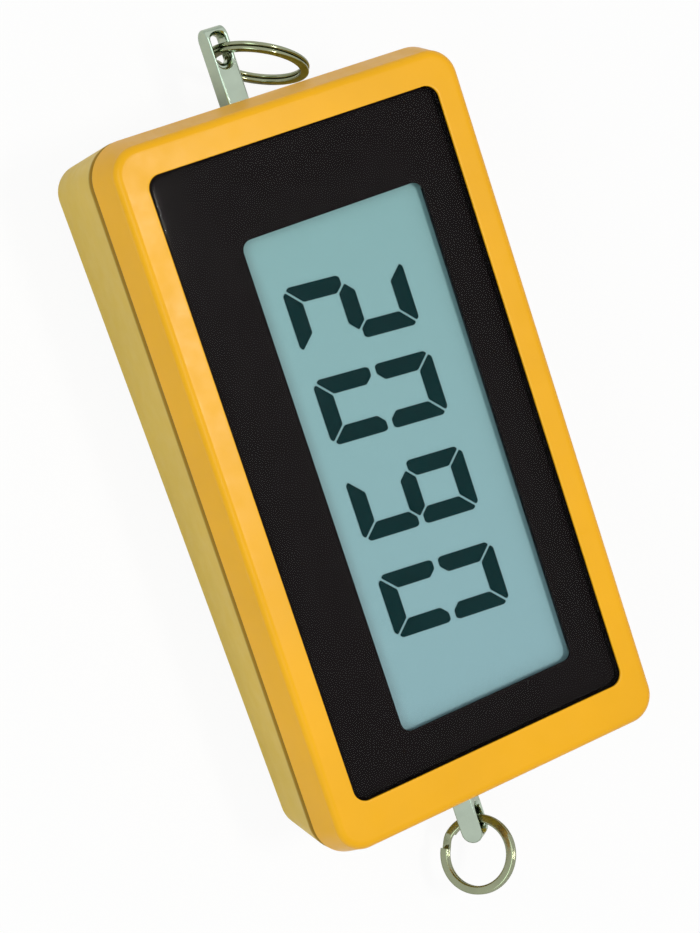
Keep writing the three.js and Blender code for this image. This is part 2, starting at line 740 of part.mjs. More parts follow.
function nut(y) {
  const blank = new THREE.CylinderGeometry(nutRadius, nutRadius, nutHeight, 6)
    .translate(0, y + nutHeight / 2, 0);
  return cut(blank, rod(shankRadius + bond, 0, 0, y - overrun, y + nutHeight + overrun));
}

// Split ring in the XZ plane through the origin, with its centre on +X
function splitRing(ring) {
  const radius = (ring.diameter - ring.wire) / 2;
  const layer = (ring.coil + coilGap) / 2;
  const step = THREE.MathUtils.degToRad(stepOver);
  const start = THREE.MathUtils.degToRad(ring.end);
  const total = 4 * Math.PI - step - THREE.MathUtils.degToRad(ringStep);
  const count = Math.round(total / THREE.MathUtils.degToRad(ringStep));
  const halfWidth = ring.wire / 2 - wireRound;
  const halfHeight = ring.coil / 2 - wireRound;
  const rings = [];
  for (let i = 0; i <= count; i += 1) {
    const along = total * i / count;
    const rise = THREE.MathUtils.smoothstep(along, 2 * Math.PI - step, 2 * Math.PI);
    const angle = start + along;
    const outward = new THREE.Vector3(Math.cos(angle), 0, Math.sin(angle));
    const centre = outward.clone().multiplyScalar(radius);
    centre.y = layer * (2 * rise - 1);
    const section = [];
    [[1, 1], [-1, 1], [-1, -1], [1, -1]].forEach(([sx, sy], quarter) => {
      for (let corner = 0; corner <= 1; corner += 1) {
        const turn = (quarter + corner) * Math.PI / 2;
        const across = sx * halfWidth + wireRound * Math.cos(turn);
        const up = sy * halfHeight + wireRound * Math.sin(turn);
        section.push(centre.clone().addScaledVector(outward, across).setY(centre.y + up));
      }
    });
    rings.push(section);
  }
  return loft(rings).translate(radius, 0, 0);
}

// Screw along Z: the head lies below z = 0 and the thread rises from it
function screw(radius, headRadius, headHeight, thread) {
  const reach = headRadius * driveShare;
  const half = driveWidth / 2;
  const floor = driveDepth - headHeight;
  const blank = join(pin(headRadius, 0, 0, -headHeight, 0, smallSides),
    pin(radius, 0, 0, -headHeight / 2, thread, smallSides));
  return cut(blank, block(-reach, reach, -half, half, -headHeight - overrun, floor),
    block(-half, half, -reach, reach, -headHeight - overrun, floor));
}

// Assembly
const calibrator = new THREE.Group();
calibrator.name = "calibrator";

const front = new THREE.Group();
front.applyMatrix4(frontToRear);
calibrator.add(front);

function place(parent, name, geometry, material, position) {
  const mesh = new THREE.Mesh(geometry, material);
  mesh.name = name;
  if (position) mesh.position.set(...position);
  parent.add(mesh);
  return mesh;
}

place(front, "front_shell", frontShell(), yellow);
place(calibrator, "rear_shell", rearShell(), yellow);
place(front, "display_lens", lens(), clear);
place(front, "lens_mask", mask(), black);
place(front, "display_front_glass", displayPlate(glassWidth, glassTop, glassThickness), clear);
place(front, "display_rear_glass", displayPlate(rearGlassWidth, rearGlassTop, glassThickness), clear);
place(front, "display_reflector", displayPlate(rearGlassWidth, reflectorTop, reflectorThickness),
  displayGrey);
place(front, "display_holder", displayHolder(), white);
place(front, "contact_strip_left", contactStrip(-1), rubber);
place(front, "contact_strip_right", contactStrip(1), rubber);
place(front, "main_board", board(), boardGreen);
place(front, "controller_cap", resinCap(), darkPlastic);
place(front, "amplifier_chip", block(chipPlaceX - chipWidth / 2, chipPlaceX + chipWidth / 2,
  chipPlaceY - chipLength / 2, chipPlaceY + chipLength / 2, -boardBack - bond - chipHeight,
  -boardBack - bond), darkPlastic);
place(front, "crystal", crystal(), steel);
place(front, "capacitor", pin(capacitorRadius, capacitorPlaceX, capacitorPlaceY,
  -boardBack - bond - capacitorHeight, -boardBack - bond), darkPlastic);
buttonPlaces.forEach((y, i) => {
  place(front, `side_switch_${i + 1}`, sideSwitch(y), darkPlastic);
  place(front, `push_button_${i + 1}`, button(y), darkPlastic);
});

place(front, "load_cell", loadCell(), aluminium);
[["left", -1], ["right", 1]].forEach(([nameX, sideX]) => {
  place(front, `strain_gauge_upper_${nameX}`, strainGauge(sideX, 1), copper);
  place(front, `strain_gauge_lower_${nameX}`, strainGauge(sideX, -1), copper);
});

// Leads: points are places in the display's frame
const gaugeEnd = coreHoleSpacing / 2 + gaugeLength / 2 + fit + leadRadius;
place(front, "gauge_lead", lead([
  [gaugeEnd, cellY + coreHeight / 2 + leadRadius + fit, -pullDepth],
  [gaugeEnd, cellY + coreHeight / 2 + leadRadius + fit, -cellFront],
  [gaugeEnd + leadRadius, cellY + coreHeight / 2 + slotHeight / 2, -boardBack - capHeight - 2 * leadRadius],
  [gaugeEnd + leadRadius, cellY + coreHeight / 2 + slotHeight / 2, -boardBack - 2 * fit],
]), white);

fourCorners.forEach(([sx, sy], i) => {
  place(front, `case_screw_${i + 1}`, screw(caseScrewRadius, caseScrewHeadRadius, caseScrewHeadHeight,
    caseScrewThread), steel,
  [sx * caseScrewX, sy * caseScrewY, -seamGap / 2 - seamDepth - headSeat - fit]);
  place(front, `board_screw_${i + 1}`, screw(smallScrewRadius, smallScrewHeadRadius, smallScrewHeadHeight,
    smallScrewThread), steel, [...boardScrewPlaces[i], -boardBack - bond]);
});
[-1, 1].forEach((side, i) => {
  place(front, `cell_screw_${i + 1}`, screw(smallScrewRadius, smallScrewHeadRadius, smallScrewHeadHeight,
    cellScrewThread - fit).rotateX(Math.PI), steel, [side * cellScrewX, cellScrewY, fit - cellFront]);
});

// Each swivel eye turns about the line of pull, and its ring about the wire where it passes through the slot
function eyeAssembly(name, side, swivel, ring) {
  const face = side > 0 ? upperEnd : lowerEnd;
  const armFace = cellLength / 2 - armHeight + side * cellY;
  const nutBase = armFace - 2 * fit - washerThickness - nutHeight;
  const shoulder = face + fit;
  const end = new THREE.Group();
  end.position.set(0, 0, -pullDepth);
  end.rotation.z = side > 0 ? 0 : Math.PI;
  front.add(end);
  place(end, `${name}_bush`, bush(face), darkPlastic);
  place(end, `${name}_washer`, washer(armFace - fit - washerThickness), steel);
  place(end, `${name}_nut`, nut(nutBase), steel);
  const eye = new THREE.Group();
  eye.position.y = shoulder;
  eye.rotation.y = THREE.MathUtils.degToRad(swivel);
  end.add(eye);
  place(eye, `${name}_eye`, swivelEye(shoulder - nutBase + shankTip), chrome);
  const leaning = new THREE.Group();
  leaning.position.y = slotCentre + ring.seat;
  leaning.rotation.set(-THREE.MathUtils.degToRad(ring.lean), THREE.MathUtils.degToRad(ring.yaw), 0);
  eye.add(leaning);
  const swinging = new THREE.Group();
  swinging.rotation.z = THREE.MathUtils.degToRad(ring.swing);
  leaning.add(swinging);
  place(swinging, `${name}_ring`, splitRing(ring), chrome);
}

eyeAssembly("upper", 1, upperSwivel, upperRing);
eyeAssembly("lower", -1, lowerSwivel, lowerRing);

// Battery, its cover and its contacts, in the rear face's frame
const batteryTop = batteryBase + batteryThickness;
place(calibrator, "battery_cover", batteryCover(), darkPlastic);
place(calibrator, "coin_battery", pin(batteryRadius, batteryX, batteryY, batteryBase, batteryTop), steel);
const leafBase = Math.max(batteryTop, cupHeight) + fit;
place(calibrator, "battery_contact_negative", join(
  block(batteryX - lugRadius, batteryX + contactWidth, batteryY - contactWidth / 2,
    batteryY + contactWidth / 2, leafBase, leafBase + contactThickness),
  pin(contactWidth / 2 - fit, batteryX, batteryY, batteryTop + fit / 2, leafBase + contactThickness / 2,
    smallSides)), steel);
const tabX = batteryX + batteryRadius + fit;
place(calibrator, "battery_contact_positive", block(tabX, tabX + contactThickness,
  batteryY - contactWidth / 2, batteryY + contactWidth / 2, leafBase - fit - contactTab - contactThickness,
  leafBase - 2 * fit), copper);

// Battery leads: the heights follow the board, which lies above the sloping rear face
const leadEnd = (y) => depthAt(y) - boardBack - 2 * fit;
const negativeX = batteryX - lugRadius - leadRadius - fit;
const positiveX = tabX + contactThickness + fit + leadRadius;
place(calibrator, "battery_lead_negative", lead([
  [negativeX, batteryY, leafBase],
  [negativeX, batteryY, leafBase + 2 * leadRadius],
  [negativeX + contactWidth / 2, batteryY, (leafBase + leadEnd(batteryY)) / 2 + leadRadius],
  [negativeX + contactWidth / 2, batteryY, leadEnd(batteryY)],
]), darkPlastic);
place(calibrator, "battery_lead_positive", lead([
  [positiveX, batteryY, leafBase],
  [positiveX, batteryY, leafBase + 2 * leadRadius],
  [tabX - contactWidth / 2, batteryY, (leafBase + leadEnd(batteryY)) / 2 + leadRadius],
  [tabX - contactWidth / 2, batteryY, leadEnd(batteryY)],
]), redWire);

export default calibrator;
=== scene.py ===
import math

import bmesh
import bpy
from mathutils import Matrix, Vector


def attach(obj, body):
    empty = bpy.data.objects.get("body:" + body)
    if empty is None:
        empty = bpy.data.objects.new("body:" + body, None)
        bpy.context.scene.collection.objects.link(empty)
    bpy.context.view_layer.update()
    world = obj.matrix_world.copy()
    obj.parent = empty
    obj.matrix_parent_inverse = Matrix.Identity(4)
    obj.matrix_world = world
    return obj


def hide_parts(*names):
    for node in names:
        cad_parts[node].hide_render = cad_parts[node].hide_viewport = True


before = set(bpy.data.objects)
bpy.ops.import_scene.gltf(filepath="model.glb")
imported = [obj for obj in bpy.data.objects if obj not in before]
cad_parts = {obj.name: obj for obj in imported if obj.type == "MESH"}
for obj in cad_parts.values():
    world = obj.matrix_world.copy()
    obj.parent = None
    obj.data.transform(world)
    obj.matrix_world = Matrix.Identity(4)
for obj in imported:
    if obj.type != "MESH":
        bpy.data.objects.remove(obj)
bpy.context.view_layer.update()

# Sizes of the part, in millimetres, as in the solids
MM = 0.001
CASE_W, CASE_L = 54.0, 101.5
DEPTH_TOP, DEPTH_BOTTOM = 28.2, 21.6
SEAM = 6.7
CORNER = 5.2
FRONT_EDGE, REAR_EDGE = 1.2, 2.0
FRONT_DRAFT, REAR_DRAFT = 1.2, 1.0
WALL, FRONT_WALL = 2.0, 3.0
PANEL_W, PANEL_L, PANEL_Y, PANEL_CORNER = 43.0, 87.6, 0.9, 1.6
WIN_TOP, WIN_BOTTOM = 11.55, 5.65
WIN_W, WIN_L = 27.7, PANEL_L - WIN_TOP - WIN_BOTTOM
WIN_X, WIN_Y = 2.15, PANEL_Y + (WIN_BOTTOM - WIN_TOP) / 2
PULL = 17.5
FIT, BOND = 0.3, 0.12

SLOPE = (DEPTH_TOP - DEPTH_BOTTOM) / CASE_L
TILT = math.atan(SLOPE)
MEAN = (DEPTH_TOP + DEPTH_BOTTOM) / 2
TO_ROW = Matrix.Scale(MM, 4) @ Matrix.Rotation(TILT, 4, "X") @ Matrix.Translation((0, 0, MEAN))
REAR_ROW = Matrix.Scale(MM, 4)


def depth_at(y):
    return MEAN + SLOPE * y


def end_at(depth):
    """Where the drafted end wall stands at the depth of the pull line."""
    return CASE_L / 2 - REAR_DRAFT * (PULL - SEAM) / (depth - REAR_EDGE - SEAM)


UPPER_END, LOWER_END = end_at(DEPTH_TOP), end_at(DEPTH_BOTTOM)

# Mesh helpers
SHARP = 38
CORNERS = ((1, 1), (-1, 1), (-1, -1), (1, -1))
FINE_SIDES = 96
TINY = 1e-6
STRAIGHT = 0.001


def smooth(mesh, angle=SHARP):
    mesh.shade_smooth()
    mesh.set_sharp_from_angle(angle=math.radians(angle))


def add_object(name, data):
    obj = bpy.data.objects.new(name, data)
    bpy.context.scene.collection.objects.link(obj)
    return obj


def to_object(bm, name, matrix=None, angle=SHARP):
    bmesh.ops.recalc_face_normals(bm, faces=bm.faces)
    if matrix is not None:
        bm.transform(matrix)
    mesh = bpy.data.meshes.new(name)
    bm.to_mesh(mesh)
    bm.free()
    smooth(mesh, angle)
    return add_object(name, mesh)


def arc(steps, visit):
    """What visit makes of each of the angles that divide a quarter turn."""
    return [visit(k / steps * math.pi / 2) for k in range(steps + 1)]


def rounded_ring(w, l, r, level, steps=12, x=0.0, y=0.0):
    pts = []
    for quarter, (sx, sy) in enumerate(CORNERS):
        for k in range(steps + 1):
            a = (quarter + k / steps) * math.pi / 2
            px = sx * (w / 2 - r) + r * math.cos(a)
            py = sy * (l / 2 - r) + r * math.sin(a)
            pts.append((px + x, py + y, level(py) if callable(level) else level))
    return pts


def skin(bm, rings, closed=False):
    """Quads between rings of points. Closed joins the last ring to the first, else both ends get caps."""
    rows = [[bm.verts.new(p) for p in ring] for ring in rings]
    pairs = list(zip(rows, rows[1:]))
    if closed:
        pairs.append((rows[-1], rows[0]))
    n = len(rows[0])
    for low, high in pairs:
        for i in range(n):
            j = (i + 1) % n
            bm.faces.new((low[i], low[j], high[j], high[i]))
    if not closed:
        bm.faces.new(list(reversed(rows[0])))
        bm.faces.new(rows[-1])


def loft(name, rings, matrix=TO_ROW, closed=False, angle=SHARP):
    bm = bmesh.new()
    skin(bm, rings, closed)
    return to_object(bm, name, matrix, angle)


def circle(radius, sides):
    turns = [2 * math.pi * k / sides for k in range(sides)]
    return [(radius * math.cos(a), radius * math.sin(a)) for a in turns]


def cylinder(name, radius, x, y, z0, z1, matrix=TO_ROW, sides=48):
    ring = circle(radius, sides)
    return loft(name, [[(x + u, y + v, z) for u, v in ring] for z in (z0, z1)], matrix)


def pull_cylinder(name, radius, y0, y1, sides=48):
    """A cylinder about the line of pull."""
    ring = circle(radius, sides)
    return loft(name, [[(u, y, -PULL - v) for u, v in ring] for y in (y0, y1)])


def boolean(obj, cutters, operation="DIFFERENCE"):
    for cutter in cutters:
        mod = obj.modifiers.new("cut", "BOOLEAN")
        mod.operation = operation
        mod.solver = "EXACT"
        mod.object = cutter
    graph = bpy.context.evaluated_depsgraph_get()
    mesh = bpy.data.meshes.new_from_object(obj.evaluated_get(graph))
    obj.modifiers.clear()
    old = obj.data
    obj.data = mesh
    bpy.data.meshes.remove(old)
    for cutter in cutters:
        data = cutter.data
        bpy.data.objects.remove(cutter)
        bpy.data.meshes.remove(data)
    smooth(obj.data)
    return obj


def lathe(name, profile, matrix, sides=64):
    """Profile of (radius, height) turned about Z, from the axis back to the axis."""
    bm = bmesh.new()
    rows = []
    for r, h in profile:
        if r < TINY:
            rows.append([bm.verts.new((0, 0, h))] * sides)
        else:
            rows.append([bm.verts.new((x, y, h)) for x, y in circle(r, sides)])
    for low, high in zip(rows, rows[1:]):
        for k in range(sides):
            j = (k + 1) % sides
            quad = []
            for v in (low[k], low[j], high[j], high[k]):
                if v not in quad:
                    quad.append(v)
            if len(quad) > 2:
                bm.faces.new(quad)
    bmesh.ops.remove_doubles(bm, verts=bm.verts, dist=TINY)
    return to_object(bm, name, matrix)


def weighted(obj):
    mod = obj.modifiers.new("normals", "WEIGHTED_NORMAL")
    mod.keep_sharp = True
    mod.weight = 80
    return obj


# Node helpers
MIX_FACTOR, MIX_A, MIX_B, MIX_RESULT = 0, 6, 7, 2
NOISE_LOW, NOISE_HIGH = 0.3, 0.7


def add(tree, kind, **values):
    node = tree.nodes.new(kind)
    for key, value in values.items():
        setattr(node, key, value)
    return node


def object_coords(tree):
    return add(tree, "ShaderNodeTexCoord").outputs["Object"]


def noise(tree, scale, detail=3.0, rough=0.5, coords=None):
    node = add(tree, "ShaderNodeTexNoise")
    node.inputs["Scale"].default_value = scale
    node.inputs["Detail"].default_value = detail
    node.inputs["Roughness"].default_value = rough
    tree.links.new(coords or object_coords(tree), node.inputs["Vector"])
    return node.outputs["Fac"]


def ramp(tree, source, low, high, start=NOISE_LOW, end=NOISE_HIGH):
    """Colour from low to high as the source goes from start to end."""
    node = add(tree, "ShaderNodeValToRGB")
    for element, place, color in zip(node.color_ramp.elements, (start, end), (low, high)):
        element.position = place
        element.color = (*color, 1)
    tree.links.new(source, node.inputs["Fac"])
    return node.outputs["Color"]


def spread(tree, source, low, high, start=NOISE_LOW, end=NOISE_HIGH):
    """Value from low to high as the source goes from start to end."""
    node = add(tree, "ShaderNodeMapRange")
    for key, value in (("From Min", start), ("From Max", end), ("To Min", low), ("To Max", high)):
        node.inputs[key].default_value = value
    tree.links.new(source, node.inputs["Value"])
    return node.outputs["Result"]


def calculate(tree, operation, *values):
    """A Math node, with each of its values a number or the socket that gives it."""
    node = add(tree, "ShaderNodeMath", operation=operation)
    for socket, value in zip(node.inputs, values):
        if isinstance(value, float):
            socket.default_value = value
        else:
            tree.links.new(value, socket)
    return node.outputs[0]


def multiply(tree, first, second):
    """Product of two colours."""
    node = add(tree, "ShaderNodeMix", data_type="RGBA", blend_type="MULTIPLY")
    node.inputs[MIX_FACTOR].default_value = 1.0
    tree.links.new(first, node.inputs[MIX_A])
    tree.links.new(second, node.inputs[MIX_B])
    return node.outputs[MIX_RESULT]


def bump(tree, shader, source, distance, strength, below=None):
    node = add(tree, "ShaderNodeBump")
    node.inputs["Distance"].default_value = distance
    node.inputs["Strength"].default_value = strength
    tree.links.new(source, node.inputs["Height"])
    if below is not None:
        tree.links.new(below, node.inputs["Normal"])
    tree.links.new(node.outputs["Normal"], shader.inputs["Normal"])
    return node.outputs["Normal"]


def srgb(r, g, b):
    out = []
    for v in (r, g, b):
        v /= 255
        out.append(v / 12.92 if v <= 0.04045 else ((v + 0.055) / 1.055) ** 2.4)
    return tuple(out)


def shade(color, factor):
    return tuple(min(1.0, c * factor) for c in color)


def material(name):
    mat = bpy.data.materials.new(name)
    mat.use_nodes = True
    tree = mat.node_tree
    return mat, tree, tree.nodes["Principled BSDF"]


def mixed_material(name, share_of, first, second):
    """A material that mixes two shaders, given as node kinds with their values, by a share."""
    mat, tree, shader = material(name)
    tree.nodes.remove(shader)
    mix = add(tree, "ShaderNodeMixShader")
    tree.links.new(share_of(tree), mix.inputs["Fac"])
    for place, (kind, values) in enumerate((first, second), 1):
        node = add(tree, kind)
        for key, value in values.items():
            node.inputs[key].default_value = value
        tree.links.new(node.outputs[0], mix.inputs[place])
    tree.links.new(mix.outputs[0], tree.nodes["Material Output"].inputs["Surface"])
    return mat


# Moulded yellow plastic, a little uneven in tone, with a fine satin grain and painted shade along the parting
# line
# Painted shade: the brown that darkens the plastic in and beside the parting groove
SEAM_SHADE_TINT = (0.5, 0.4, 0.12)
UNCHANGED = (1, 1, 1)
SEAM_NORMAL = (0, -math.sin(TILT), math.cos(TILT))
SEAM_SHADE_UP, SEAM_SHADE_CORE, SEAM_SHADE_REACH = -0.15, 0.45, 1.0


def painted_seam_shade(tree):
    """Painted shade: a brown darkening near the parting plane, where the groove between the shells lies in
    shade, as a factor on the colour.
    """
    dot = add(tree, "ShaderNodeVectorMath", operation="DOT_PRODUCT")
    tree.links.new(object_coords(tree), dot.inputs[0])
    dot.inputs[1].default_value = SEAM_NORMAL
    level = Vector(SEAM_NORMAL).dot(TO_ROW @ Vector((0, 0, SEAM_SHADE_UP - SEAM)))
    away = calculate(tree, "ABSOLUTE", calculate(tree, "SUBTRACT", dot.outputs["Value"], level))
    near = spread(tree, away, 0, 1, SEAM_SHADE_CORE * MM, SEAM_SHADE_REACH * MM)
    return ramp(tree, near, SEAM_SHADE_TINT, UNCHANGED, 0, 1)


def cloudy(tree, color, low, high, scale):
    """The colour, drifting between a darker and a lighter tone."""
    return ramp(tree, noise(tree, scale, 4), shade(color, low), shade(color, high))


def yellow_plastic(name, color, rough, gloss):
    mat, tree, shader = material(name)
    tone = cloudy(tree, color, 0.94, 1.03, scale=60)
    # The colour is darkened by painted shade along the parting line
    tree.links.new(multiply(tree, tone, painted_seam_shade(tree)), shader.inputs["Base Color"])
    worn = spread(tree, noise(tree, 350, 5), rough - 0.05, rough + 0.06)
    tree.links.new(worn, shader.inputs["Roughness"])
    grain = bump(tree, shader, noise(tree, 5200, 2), 0.000006, 0.5)
    bump(tree, shader, noise(tree, 160, 2), 0.00006, 0.25, grain)
    shader.inputs["Specular IOR Level"].default_value = gloss
    return mat


def plain_plastic(name, color, rough, grain=3500, depth=0.00001, low=0.82, high=1.15, gloss=0.4):
    mat, tree, shader = material(name)
    tree.links.new(cloudy(tree, color, low, high, scale=240), shader.inputs["Base Color"])
    worn = spread(tree, noise(tree, 500, 4), rough - 0.06, rough + 0.08)
    tree.links.new(worn, shader.inputs["Roughness"])
    bump(tree, shader, noise(tree, grain, 2), depth, 0.5)
    shader.inputs["Specular IOR Level"].default_value = gloss
    return mat


def print_ink(name, color, grain):
    """Flat ink behind a clear sheet, with next to no gloss or grain of its own."""
    return plain_plastic(name, color, 0.5, grain, 0.000002, 0.93, 1.06, 0.03)


def metal(name, color, rough, streak=(1, 1, 1), depth=0.000008):
    mat, tree, shader = material(name)
    shader.inputs["Metallic"].default_value = 1.0
    place = add(tree, "ShaderNodeMapping")
    place.inputs["Scale"].default_value = streak
    tree.links.new(object_coords(tree), place.inputs["Vector"])
    fine = noise(tree, 900, 6, 0.6, place.outputs["Vector"])
    tree.links.new(cloudy(tree, color, 0.88, 1, scale=300), shader.inputs["Base Color"])
    tree.links.new(spread(tree, fine, rough - 0.04, rough + 0.1), shader.inputs["Roughness"])
    bump(tree, shader, fine, depth, 0.4)
    return mat


def thin_clear(name, ior, tint, rough):
    """A thin clear sheet: what is behind it shows, under a gloss that grows at grazing angles."""
    def gloss(tree):
        fresnel = add(tree, "ShaderNodeFresnel")
        fresnel.inputs["IOR"].default_value = ior
        uneven = spread(tree, noise(tree, 40, 3), 0.92, 1.08)
        return calculate(tree, "MULTIPLY", fresnel.outputs["Fac"], uneven)
    return mixed_material(
        name, gloss,
        ("ShaderNodeBsdfTransparent", {"Color": (*tint, 1)}),
        ("ShaderNodeBsdfAnisotropic", {"Color": (1, 1, 1, 1), "Roughness": rough}))


# Display reflector: a speckled pale film, a little bluer towards its lower end
FILM_LOW, FILM_HIGH = srgb(162, 197, 212), srgb(154, 195, 203)
FILM_START, FILM_END = -0.037, 0.034
SPECK = (0.93, 0.93, 0.93)


def reflector_film():
    mat, tree, shader = material("reflector_film")
    split = add(tree, "ShaderNodeSeparateXYZ")
    tree.links.new(object_coords(tree), split.inputs[0])
    along = spread(tree, split.outputs["Y"], 0, 1, FILM_START, FILM_END)
    tone = ramp(tree, along, FILM_LOW, FILM_HIGH, 0, 1)
    speck = ramp(tree, noise(tree, 4500, 2), SPECK, UNCHANGED)
    tree.links.new(multiply(tree, tone, speck), shader.inputs["Base Color"])
    tree.links.new(spread(tree, noise(tree, 2200, 3), 0.5, 0.62), shader.inputs["Roughness"])
    bump(tree, shader, noise(tree, 3800, 2), 0.000006, 0.4)
    return mat


# Materials
YELLOW_FRONT = yellow_plastic("front_yellow", srgb(249, 180, 8), 0.34, 0.3)
YELLOW_REAR = yellow_plastic("rear_yellow", srgb(224, 186, 66), 0.38, 0.26)
# Black print of the lens mask, also painted on the yellow recess walls round the lens as shade
MASK_PRINT_AND_RECESS_SHADE = print_ink("mask_print_and_recess_shade", srgb(20, 16, 17), 2500)
SEGMENT = print_ink("display_segment", srgb(7, 46, 50), 3000)
DARK = plain_plastic("dark_moulding", srgb(34, 34, 36), 0.42)
BOARD = plain_plastic("board_mask", srgb(28, 96, 52), 0.35)
WHITE = plain_plastic("holder_white", srgb(225, 225, 220), 0.5)
RUBBER = plain_plastic("strip_rubber", srgb(84, 88, 96), 0.7)
RED = plain_plastic("lead_red", srgb(180, 30, 30), 0.45)
COPPER = metal("gauge_foil", srgb(190, 130, 70), 0.35)
CHROME = metal("chrome_plate", srgb(178, 192, 175), 0.1, depth=0.000004)
RING = metal("ring_plate", srgb(148, 154, 126), 0.12, depth=0.000004)
STEEL = metal("zinc_steel", srgb(196, 198, 200), 0.3, (1, 8, 1))
ALU = metal("cell_aluminium", srgb(205, 207, 210), 0.32, (8, 1, 1))
LENS = thin_clear("lens_clear", 1.13, (0.97, 0.975, 0.975), 0.06)
LENS_BACK = thin_clear("lens_bonded", 1.01, (1, 1, 1), 0.06)
GLASS = thin_clear("display_glass", 1.06, (0.96, 0.985, 0.975), 0.1)
REFLECTOR = reflector_film()

# Looks of the solids that show as they are
CAD_LOOKS = (
    (MASK_PRINT_AND_RECESS_SHADE, ["lens_mask"]),
    (GLASS, ["display_front_glass"]),
    (REFLECTOR, ["display_rear_glass"]),
    (WHITE, ["display_holder", "gauge_lead"]),
    (RUBBER, ["contact_strip_left", "contact_strip_right"]),
    (BOARD, ["main_board"]),
    (ALU, ["load_cell"]),
    (RED, ["battery_lead_positive"]),
    (COPPER, [
        "strain_gauge_upper_left", "strain_gauge_upper_right", "strain_gauge_lower_left",
        "strain_gauge_lower_right", "battery_contact_positive"]),
    (DARK, [
        "controller_cap", "amplifier_chip", "capacitor", "side_switch_1", "side_switch_2",
        "battery_lead_negative", "battery_cover", "push_button_1", "push_button_2", "upper_bush",
        "lower_bush"]),
    (STEEL, [
        "display_reflector", "crystal", "upper_washer", "lower_washer", "upper_nut", "lower_nut",
        "coin_battery", "battery_contact_negative", "cell_screw_1", "cell_screw_2",
        "case_screw_1", "case_screw_2", "case_screw_3", "case_screw_4",
        "board_screw_1", "board_screw_2", "board_screw_3", "board_screw_4"]),
)
for look, names in CAD_LOOKS:
    for name in names:
        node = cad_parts[name]
        node.data.materials.clear()
        node.data.materials.append(look)


def dress(obj, mat, body, replaced=()):
    """Material, body and replaced nodes of a piece. It keeps its own materials where mat is None."""
    if mat:
        obj.data.materials.clear()
        obj.data.materials.append(mat)
    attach(obj, body)
    if replaced:
        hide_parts(*replaced)
    return obj


def two_materials(obj, main, other, has_other):
    """The other material on the faces that has_other picks by their centre in the case's frame."""
    obj.data.materials.append(main)
    obj.data.materials.append(other)
    to_case = TO_ROW.inverted()
    for face in obj.data.polygons:
        face.material_index = 1 if has_other(*(to_case @ face.center)) else 0


# Case shells
CASE_STEPS, MIN_CORNER = 14, 0.35
SEAM_GAP, SEAM_CHAMFER, LIP_H, LIP_T = 0.6, 0.5, 1.6, 0.9
FRONT_SEAM = SEAM_GAP / 2 - SEAM
REAR_SEAM = -SEAM_GAP / 2 - SEAM
LIP_TOP = FRONT_SEAM + LIP_H
EDGE_LOOP = 0.3
SHELL_ANGLE = 50


def case_ring(inset, level):
    r = max(CORNER - inset, MIN_CORNER)
    return rounded_ring(CASE_W - 2 * inset, CASE_L - 2 * inset, r, level, CASE_STEPS)


def rounded_rings(steps, inset, radius, level):
    """Rings that turn in from a wall by a quarter circle, up to a level."""
    def ring(a):
        return case_ring(inset + radius * (1 - math.cos(a)), level - radius * (1 - math.sin(a)))
    return arc(steps, ring)


# Front shell
LENS_SINK, LENS_T, MASK_T = 0.15, 1.2, 0.25
RECESS = LENS_SINK + LENS_T + BOND + MASK_T + BOND
RECESS_W, RECESS_L, RECESS_CORNER = PANEL_W + 2 * FIT, PANEL_L + 2 * FIT, PANEL_CORNER + FIT
RECESS_CHAMFER, RECESS_LOOP, RECESS_EDGE, SLIVER = 0.12, 0.35, 0.3, 0.05
GLASS_MARGIN = 2.6
OPENING_W, OPENING_L = WIN_W + 2 * GLASS_MARGIN + 2 * FIT, WIN_L + 2 * GLASS_MARGIN + 2 * FIT
OPENING_CORNER = 0.3


def recess_ring(outset, z):
    r = RECESS_CORNER + outset
    return rounded_ring(RECESS_W + 2 * outset, RECESS_L + 2 * outset, r, z, CASE_STEPS, 0, PANEL_Y)


def opening_ring(z):
    return rounded_ring(OPENING_W, OPENING_L, OPENING_CORNER, z, CASE_STEPS, WIN_X, WIN_Y)


def in_recess(x, y, z):
    across = abs(x) < RECESS_W / 2 + SLIVER
    along = abs(y - PANEL_Y) < RECESS_L / 2 + SLIVER
    return across and along and -FRONT_WALL - SLIVER < z < -RECESS_EDGE


def seam_chamfer(a):
    inset = SEAM_CHAMFER * (1 - math.sin(a))
    return case_ring(inset, FRONT_SEAM + SEAM_CHAMFER * (1 - math.cos(a)))


def recess_chamfer(a):
    return recess_ring(RECESS_CHAMFER * (1 - math.sin(a)), -RECESS_CHAMFER * (1 - math.cos(a)))


def front_shell():
    shell = loft("case_front", [
        case_ring(WALL - LIP_T - FIT, FRONT_SEAM),
        case_ring(SEAM_CHAMFER, FRONT_SEAM),
        *arc(3, seam_chamfer),
        *rounded_rings(14, FRONT_DRAFT, FRONT_EDGE, 0),
        case_ring(FRONT_DRAFT + FRONT_EDGE + EDGE_LOOP, 0),
        recess_ring(RECESS_LOOP, 0),
        *arc(3, recess_chamfer),
        recess_ring(0, -RECESS_EDGE),
        recess_ring(0, -RECESS),
        opening_ring(-RECESS),
        opening_ring(-FRONT_WALL),
        case_ring(WALL + FRONT_DRAFT, -FRONT_WALL),
        case_ring(WALL, LIP_TOP + FIT),
        case_ring(WALL - LIP_T - FIT, LIP_TOP + FIT),
    ], closed=True, angle=SHELL_ANGLE)
    # Painted shade: the recess walls and floor round the lens take the black mask print, so the narrow gap
    # round the lens shows dark
    two_materials(shell, YELLOW_FRONT, MASK_PRINT_AND_RECESS_SHADE, in_recess)
    return shell


